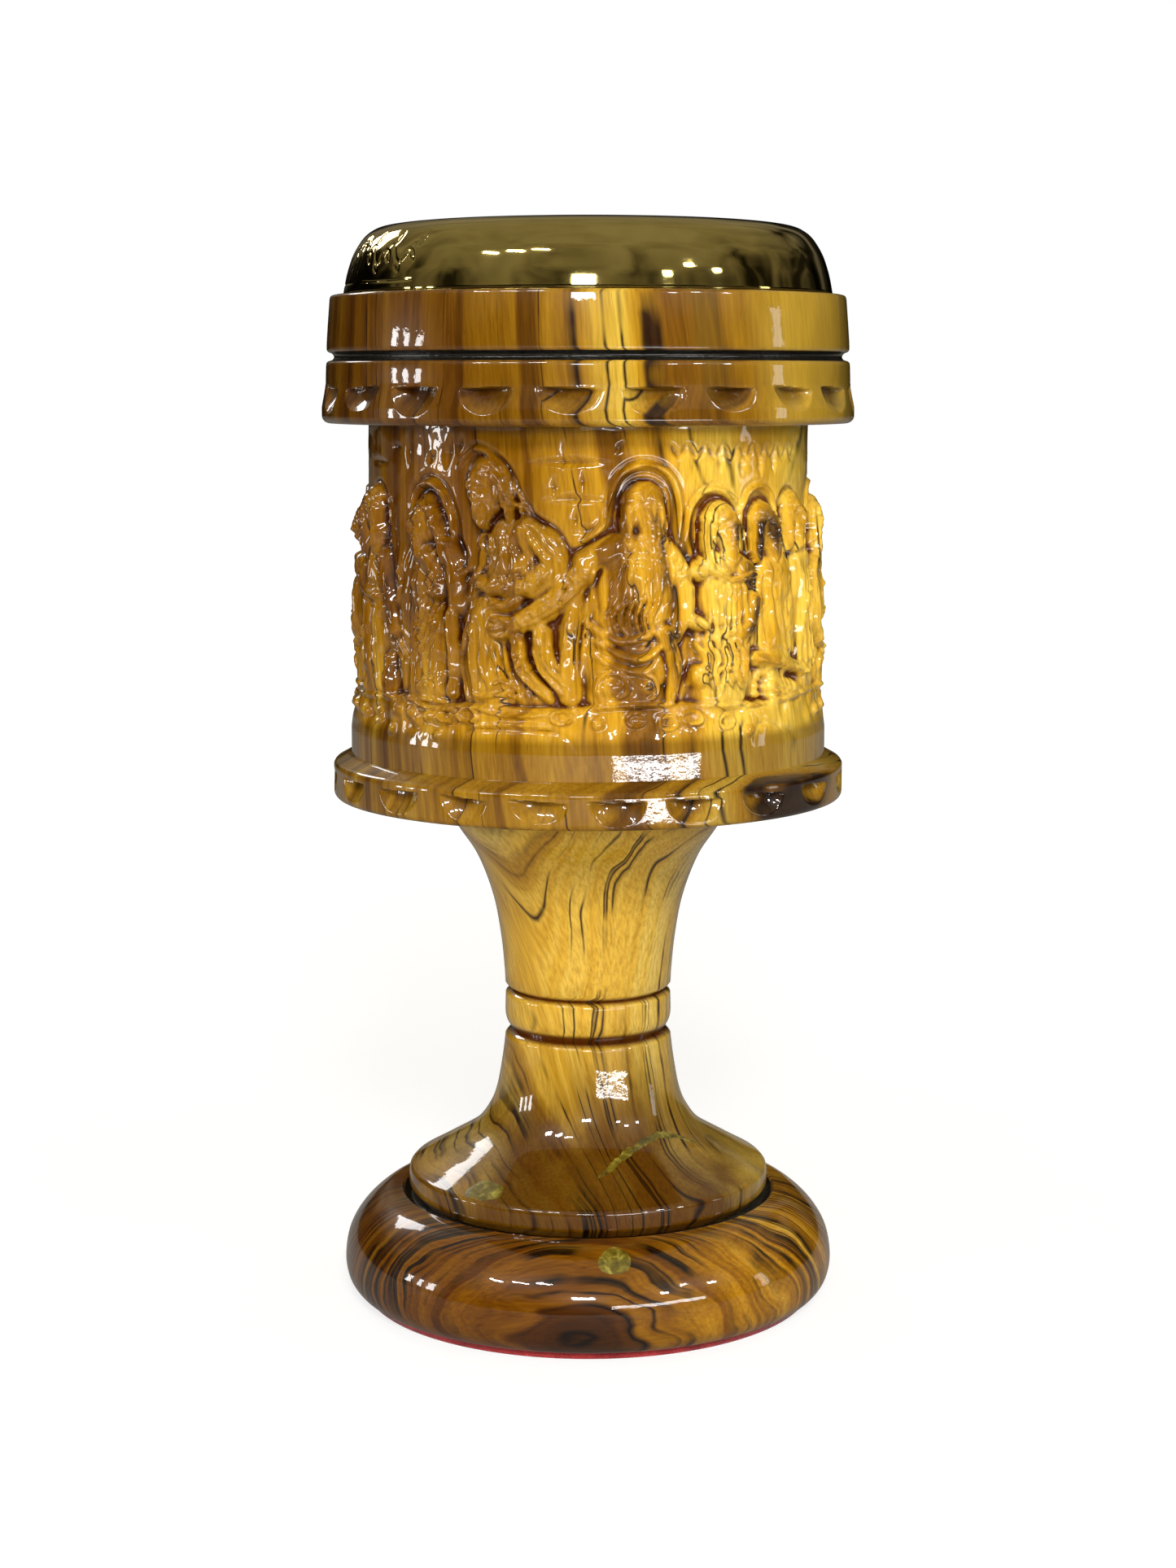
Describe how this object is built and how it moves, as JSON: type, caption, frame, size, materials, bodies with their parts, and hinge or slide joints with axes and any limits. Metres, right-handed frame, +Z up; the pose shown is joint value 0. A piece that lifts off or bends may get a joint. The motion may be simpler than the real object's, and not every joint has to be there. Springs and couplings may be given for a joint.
{
  "type": "ciborium",
  "caption": "Turned olive-wood ciborium on a stemmed foot, cup carved with a banquet scene in relief, brass bowl insert that lifts out and domed brass lid that lifts off.",
  "frame": {"origin": "centre of the felt's underside, on the surface that the vessel stands on", "axes": "+Z up along the turning axis, towards the lid; the front of the carving faces -Y; +X to the viewer's right"},
  "size_m": [0.0998, 0.0998, 0.205],
  "materials": {
    "cup_wood": "high-gloss lacquer over carved olive wood",
    "stem_wood": "high-gloss lacquer over turned olive wood",
    "base_wood": "high-gloss lacquer over strongly figured olive wood",
    "felt": "short-pile felt",
    "liner_brass": "polished",
    "lid_brass": "mirror polished, line engraved",
    "resin": "cast resin, polished flush"
  },
  "bodies": {
    "vessel": {"cup": "cup_wood", "stem": "stem_wood", "base": "base_wood", "felt_pad": "felt", "base_knot_fill": "resin", "foot_knot_fill": "resin", "foot_crack_fill": "resin"},
    "bowl_insert": {"liner": "liner_brass"},
    "lid_body": {"lid": "lid_brass"}
  },
  "joints": [
    {"name": "liner_lift", "type": "slide", "parent": "vessel", "child": "bowl_insert", "axis": [0, 0, 1], "range_m": [0, 0.085]},
    {"name": "lid_lift", "type": "slide", "parent": "bowl_insert", "child": "lid_body", "axis": [0, 0, 1], "range_m": [0, 0.06]}
  ]
}
